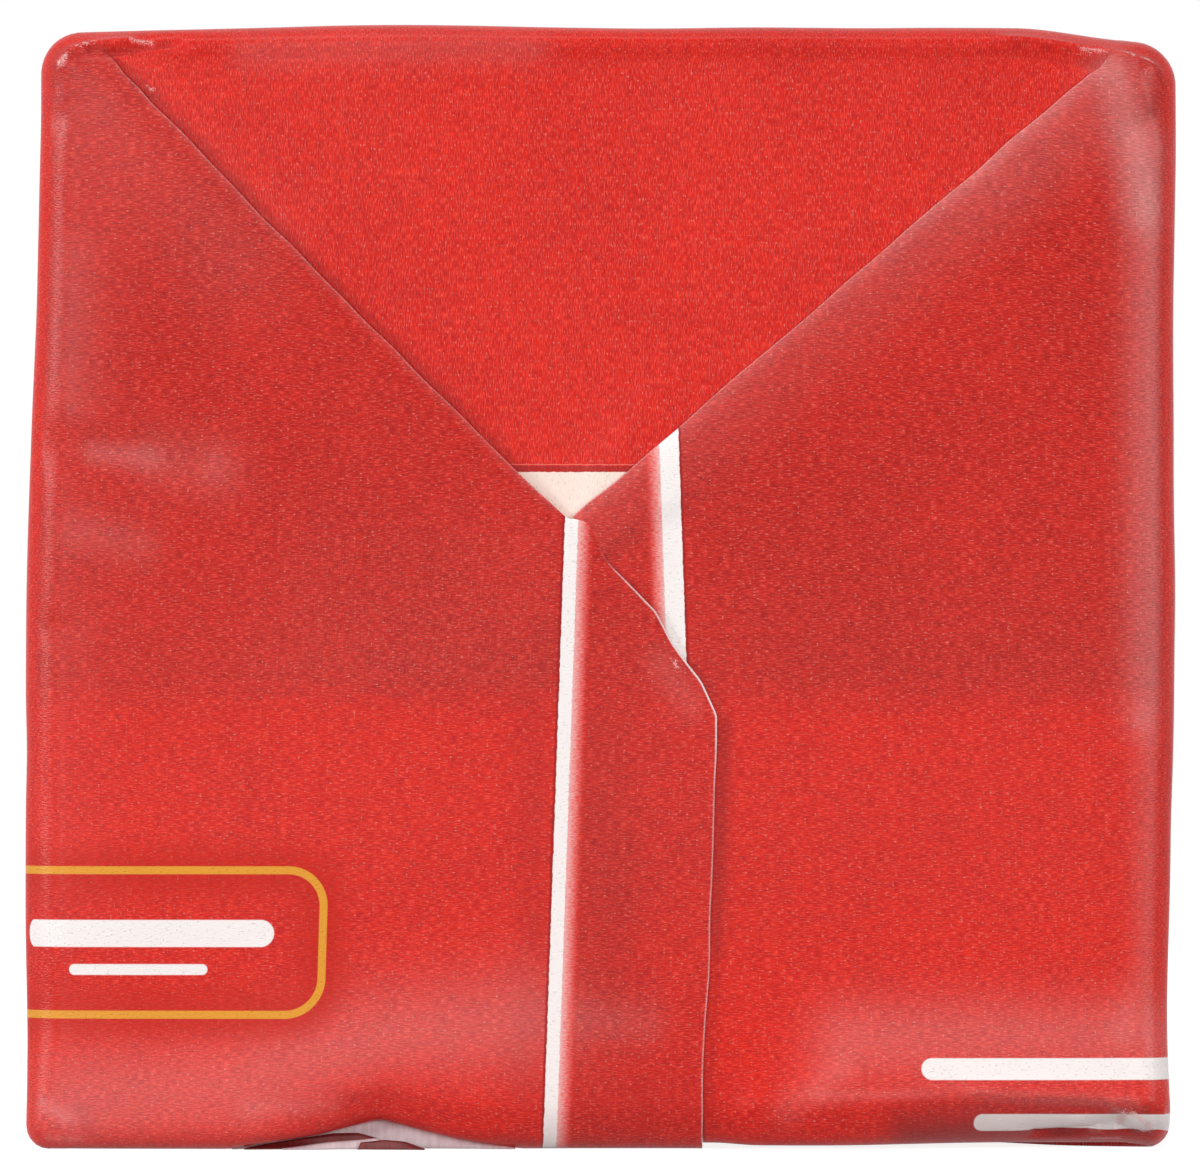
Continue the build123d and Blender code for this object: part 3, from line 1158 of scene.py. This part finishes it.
def tucked_mesh():
    """Upright layers of paper just behind the lip, each with a wavy face that leans back."""
    points, faces, sheet, shown = [], [], [], []
    for behind, material, top in TUCKED_LAYERS:
        first, last = top[0][0], top[-1][0]
        columns = int((last - first) / TUCKED_SPACING)
        start = len(points)
        for i in range(columns + 1):
            x = first + (last - first) * i / columns
            height = np.interp(x, *zip(*top))
            for j in range(TUCKED_STEPS + 1):
                share = j / TUCKED_STEPS
                sway = TUCKED_SWAY * noise.noise(Vector((0.7 * x, share, 5.0 * behind)))
                y = behind - L2 + TUCKED_SLOPE * share + sway
                points.append((x, y, TUCKED_BASE + height * share))
                sheet.append((x, height * share))
        for i in range(columns):
            for j in range(TUCKED_STEPS):
                corner = start + i * (TUCKED_STEPS + 1) + j
                faces.append((corner, corner + TUCKED_STEPS + 1, corner + TUCKED_STEPS + 2, corner + 1))
                shown.append(material)
    corners = [sheet[index] for face in faces for index in face]
    return new_mesh("tucked_paper", points, faces, corners, shown)


def add_object(name, data):
    """Put a new object in the scene."""
    added = bpy.data.objects.new(name, data)
    bpy.context.scene.collection.objects.link(added)
    return added


def add_piece(name, mesh, materials):
    """Put a mesh in the scene in place of the plain block."""
    piece = add_object(name, mesh)
    for material in materials:
        mesh.materials.append(material)
    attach(piece, "root")
    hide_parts(NODE)
    return piece


add_piece("wrapper", wrapper_mesh(), [printed_paper(), plain_paper(*CUT_EDGE)])
tucked = add_piece("tucked_paper", tucked_mesh(), [plain_paper(*INNER_PAPER), plain_paper(*SHADE_DARK_TUCKED_PRINT)])
thickness = tucked.modifiers.new("thickness", "SOLIDIFY")
thickness.thickness = PAPER_THICKNESS * MM


# ---- floor, lights and camera


AMBIENT = 0.28
FLOOR_REACH = 4.0
FLOOR_COLOUR = 0.46
FLOOR_GLOW = 0.87

# The lights: a name, a place in metres, a size and a power
LIGHTS = (
    ("key", (-0.95, -0.50, 0.34), (0.25, 0.25), 5.95),
    ("left box", (-0.40, -0.95, 0.10), (0.25, 0.25), 1.5),
    ("right box", (0.75, -0.80, 0.10), (0.5, 0.5), 5.7),
    ("top box", (-0.1, -0.45, 0.9), (0.6, 0.4), 2.5),
)
AIM = Vector((0.0, -0.03, 0.03))

# The camera: its distance from the end, in metres, and what it sees and its height, as shares of the block
CAMERA_DISTANCE = 0.6
VIEW_WIDTH = 1.0365
VIEW_HEIGHT = 0.498


def shine(tree, socket, otherwise, seen):
    """Set a strength for rays from the camera, mirror images and what glass lets through, and otherwise."""
    nodes, links = tree.nodes, tree.links
    path = nodes.new("ShaderNodeLightPath")
    look = path.outputs["Is Camera Ray"]
    for kind in ("Is Glossy Ray", "Is Transmission Ray"):
        either = nodes.new("ShaderNodeMath")
        either.operation = "MAXIMUM"
        links.new(look, either.inputs[0])
        links.new(path.outputs[kind], either.inputs[1])
        look = either.outputs[0]
    strength = nodes.new("ShaderNodeMapRange")
    strength.inputs["To Min"].default_value = otherwise
    strength.inputs["To Max"].default_value = seen
    links.new(look, strength.inputs["Value"])
    links.new(strength.outputs["Result"], socket)


def add_floor():
    """A plain pale floor that shows white and keeps the block's shadow."""
    mesh = bpy.data.meshes.new("floor")
    r = FLOOR_REACH
    mesh.from_pydata([(-r, -r, 0), (r, -r, 0), (r, r, 0), (-r, r, 0)], [], [(0, 1, 2, 3)])
    graph = Graph("floor")
    inputs = graph.shader.inputs
    inputs["Base Color"].default_value = (*(FLOOR_COLOUR,) * 3, 1.0)
    inputs["Roughness"].default_value = 0.9
    inputs["Specular IOR Level"].default_value = 0.0
    inputs["Emission Color"].default_value = (1.0, 1.0, 1.0, 1.0)
    shine(graph.tree, inputs["Emission Strength"], 0.0, FLOOR_GLOW)
    mesh.materials.append(graph.material)
    floor = add_object("floor", mesh)


def add_world():
    """Soft light from all round, white where the camera looks straight at it."""
    world = bpy.data.worlds.new("studio")
    bpy.context.scene.world = world
    world.use_nodes = True
    background = world.node_tree.nodes["Background"]
    background.inputs["Color"].default_value = (1.0, 1.0, 1.0, 1.0)
    shine(world.node_tree, background.inputs["Strength"], AMBIENT, 1.0)


def add_light(name, place, size, power):
    """A soft box that faces the block."""
    data = bpy.data.lights.new(name, "AREA")
    data.shape = "RECTANGLE"
    data.size, data.size_y = size
    data.energy = power
    light = add_object(name, data)
    light.location = place
    light.rotation_euler = (AIM - light.location).to_track_quat("-Z", "Y").to_euler()


def add_camera():
    """Straight in front of the folded end, far off with a long lens."""
    data = bpy.data.cameras.new("camera")
    data.sensor_width = 36.0
    data.lens = data.sensor_width * CAMERA_DISTANCE / (WIDTH * MM * VIEW_WIDTH)
    camera = add_object("camera", data)
    camera.location = (0.0, -L2 * MM - CAMERA_DISTANCE, VIEW_HEIGHT * HEIGHT * MM)
    camera.rotation_euler = (math.radians(90.0), 0.0, 0.0)
    bpy.context.scene.camera = camera


add_floor()
add_world()
for light in LIGHTS:
    add_light(*light)
add_camera()
bpy.context.scene.view_settings.view_transform = "Standard"
